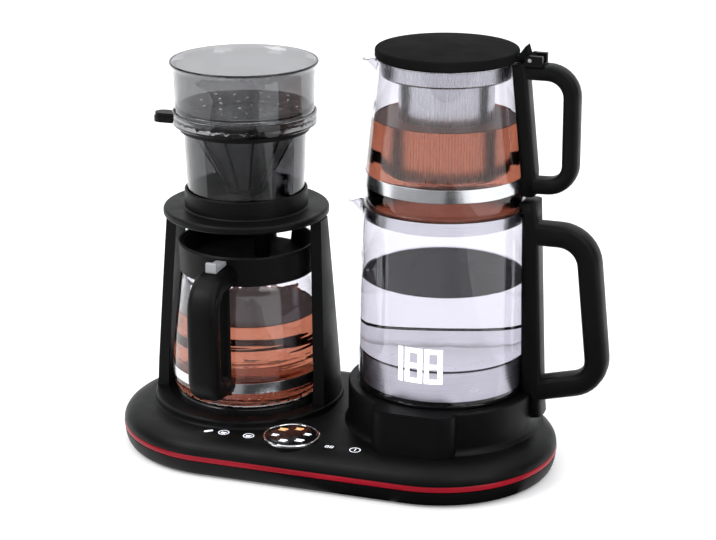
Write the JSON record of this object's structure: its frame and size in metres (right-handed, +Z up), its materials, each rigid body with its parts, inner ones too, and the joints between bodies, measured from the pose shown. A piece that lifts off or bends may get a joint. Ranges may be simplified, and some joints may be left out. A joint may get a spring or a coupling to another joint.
{
  "type": "tea maker",
  "caption": "Automatic tea maker: a long black base with a glass kettle and a teapot nested in its mouth, beside a tower with a dripper, a water tank and a glass carafe",
  "frame": {"origin": "middle of the footprint, on the surface the feet stand on", "axes": "+Z up, -Y is the front with the controls, +X points to the kettle's handle"},
  "size_m": [0.446, 0.2136, 0.3812],
  "materials": {
    "black_plastic": "satin",
    "dark_plastic": "polished",
    "red_trim": "satin",
    "black_rubber": "matte",
    "steel": "brushed",
    "bright_ring": "polished",
    "board_green": "satin",
    "heater_metal": "satin",
    "clear_glass": "polished",
    "smoke_plastic": "polished",
    "light_marks": "polished",
    "grey_lever": "satin"
  },
  "bodies": {
    "base": {"base_shell": "black_plastic", "trim_band": "red_trim", "base_pan": "black_plastic", "rubber_feet": "black_rubber", "base_screws": "steel", "cord_gland": "black_rubber", "control_board": "board_green", "selector_encoder": "black_plastic", "selector_bezel": "bright_ring", "indicator_lens": "light_marks", "tower_foot": "black_plastic", "left_post": "black_plastic", "right_post": "black_plastic", "tower_collar": "black_plastic", "drip_guide": "black_plastic", "drip_spring": "steel", "warming_plate": "heater_metal", "plate_heater": "heater_metal", "kettle_plinth": "black_plastic", "power_connector": "black_plastic"},
    "selector": {"selector_dial": "dark_plastic"},
    "key_1": {"key_1": "dark_plastic"},
    "key_2": {"key_2": "dark_plastic"},
    "key_3": {"key_3": "dark_plastic"},
    "key_4": {"key_4": "dark_plastic"},
    "drip_tube": {"drip_tube": "black_plastic"},
    "dripper": {"dripper_body": "smoke_plastic", "dripper_tab": "black_plastic"},
    "filter": {"filter_frame": "black_plastic", "filter_mesh": "steel"},
    "tank": {"tank_shell": "smoke_plastic", "shower_plate": "smoke_plastic"},
    "carafe": {"carafe_glass": "clear_glass", "carafe_band": "steel", "carafe_collar": "black_plastic", "carafe_lid": "black_plastic", "carafe_handle": "black_plastic", "carafe_lever": "grey_lever"},
    "kettle": {"kettle_cup": "black_plastic", "kettle_socket": "black_plastic", "kettle_heater": "heater_metal", "kettle_pan": "steel", "kettle_gasket": "black_rubber", "kettle_glass": "clear_glass", "kettle_handle": "black_plastic", "seat_ring": "steel", "temperature_display": "light_marks"},
    "teapot": {"teapot_glass": "clear_glass", "teapot_band": "steel", "teapot_handle": "black_plastic", "lid_bracket": "black_plastic", "lid_pin": "steel", "infuser_basket": "steel"},
    "teapot_lid": {"teapot_lid": "black_plastic", "lid_gasket": "black_rubber"}
  },
  "joints": [
    {"name": "selector_turn", "type": "hinge", "parent": "base", "child": "selector", "pos_m": [-0.03887, -0.073, 0.037], "axis": [0, 0, 1], "continuous": true},
    {"name": "key_1_press", "type": "slide", "parent": "base", "child": "key_1", "axis": [0, 0, -1], "range_m": [0, 0.0008], "stiffness_N_per_m": 800, "springref_m": -0.0003},
    {"name": "key_2_press", "type": "slide", "parent": "base", "child": "key_2", "axis": [0, 0, -1], "range_m": [0, 0.0008], "stiffness_N_per_m": 800, "springref_m": -0.0003},
    {"name": "key_3_press", "type": "slide", "parent": "base", "child": "key_3", "axis": [0, 0, -1], "range_m": [0, 0.0008], "stiffness_N_per_m": 800, "springref_m": -0.0003},
    {"name": "key_4_press", "type": "slide", "parent": "base", "child": "key_4", "axis": [0, 0, -1], "range_m": [0, 0.0008], "stiffness_N_per_m": 800, "springref_m": -0.0003},
    {"name": "drip_stop", "type": "slide", "parent": "base", "child": "drip_tube", "axis": [0, 0, 1], "range_m": [0, 0.003], "stiffness_N_per_m": 300, "springref_m": -0.004, "deforming": ["drip_spring"]},
    {"name": "dripper_lift", "type": "slide", "parent": "base", "child": "dripper", "axis": [0, 0, 1], "range_m": [0, 0.08]},
    {"name": "filter_lift", "type": "slide", "parent": "dripper", "child": "filter", "axis": [0, 0, 1], "range_m": [0, 0.09]},
    {"name": "tank_lift", "type": "slide", "parent": "filter", "child": "tank", "axis": [0, 0, 1], "range_m": [0, 0.06]},
    {"name": "carafe_slide", "type": "slide", "parent": "base", "child": "carafe", "axis": [0, -1, 0], "range_m": [0, 0.18]},
    {"name": "kettle_lift", "type": "slide", "parent": "base", "child": "kettle", "axis": [0, 0, 1], "range_m": [0, 0.1]},
    {"name": "teapot_lift", "type": "slide", "parent": "kettle", "child": "teapot", "axis": [0, 0, 1], "range_m": [0, 0.1]},
    {"name": "lid_hinge", "type": "hinge", "parent": "teapot", "child": "teapot_lid", "pos_m": [0.14803, 0.0115, 0.3698], "axis": [0, 1, 0], "range_deg": [0, 82]}
  ]
}
